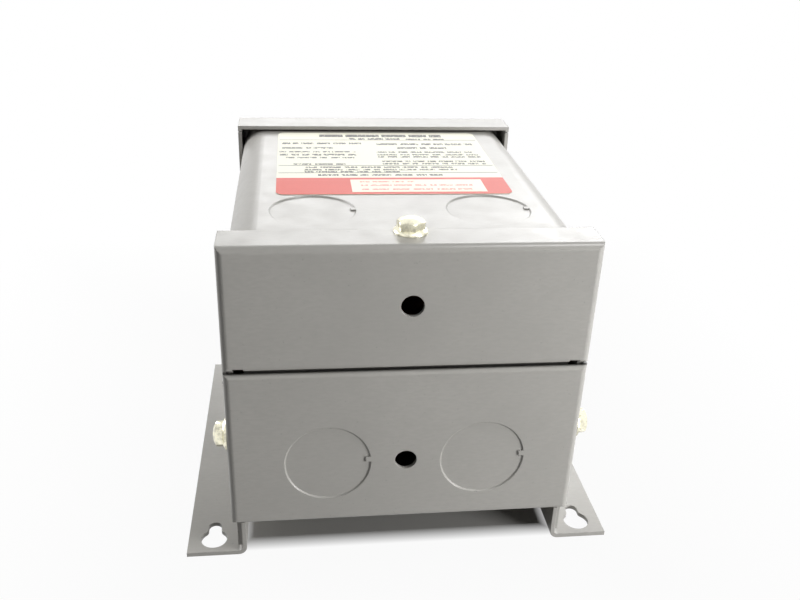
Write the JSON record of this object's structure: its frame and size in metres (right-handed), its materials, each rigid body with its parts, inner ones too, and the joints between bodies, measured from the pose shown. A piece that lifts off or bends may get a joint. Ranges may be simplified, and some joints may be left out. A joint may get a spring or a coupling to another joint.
{
  "type": "buck boost transformer",
  "caption": "Small dry-type buck boost transformer in a folded steel case with keyhole mounting feet, screwed wiring cover, conduit knockouts and a rating label.",
  "frame": {"origin": "middle of the outline, on the plane of the mounting feet", "axes": "+Z out of the mounting surface towards the label face, +Y from the wiring end to the far end, +X across the case"},
  "size_m": [0.1508, 0.15, 0.1214],
  "materials": {
    "painted_steel": "satin light grey enamel on sheet steel",
    "zinc_screw": "yellow zinc plated steel",
    "label_stock": "cream printed label with a matt laminate",
    "lamination_steel": "blue-black annealed silicon steel",
    "magnet_wire": "enamelled copper wire under varnish",
    "bobbin_plastic": "glass-filled nylon",
    "insulation_paper": "amber insulating paper",
    "coil_wrap": "yellow polyester tape",
    "fill_compound": "cast resin and sand",
    "fibre_board": "vulcanised fibre board",
    "bushing_rubber": "moulded black rubber",
    "mains_lead": "black lead insulation",
    "low_voltage_lead": "pale lead insulation",
    "green_screw": "green bonding screw"
  },
  "bodies": {
    "case": {"mounting_base": "painted_steel", "body_wrap": "painted_steel", "far_end_cap": "painted_steel", "lower_end_plate": "painted_steel", "cover_screw": "zinc_screw", "end_plate_screws": "zinc_screw", "nameplate": "label_stock", "core_e_stack": "lamination_steel", "core_i_stack": "lamination_steel", "core_bolts": "zinc_screw", "core_nuts": "zinc_screw", "coil_former": "bobbin_plastic", "secondary_coil_a": "magnet_wire", "secondary_coil_b": "magnet_wire", "winding_insulation": "insulation_paper", "primary_coil_a": "magnet_wire", "primary_coil_b": "magnet_wire", "coil_tape": "coil_wrap", "potting_compound": "fill_compound", "barrier_board": "fibre_board", "lead_bushings": "bushing_rubber", "primary_leads": "mains_lead", "secondary_leads": "low_voltage_lead", "ground_screw": "green_screw", "ground_clip": "zinc_screw"},
    "cover": {"wiring_cover": "painted_steel"}
  },
  "joints": [
    {"name": "cover_slide", "type": "slide", "parent": "case", "child": "cover", "axis": [0, -1, 0], "range_m": [0, 0.06]}
  ]
}
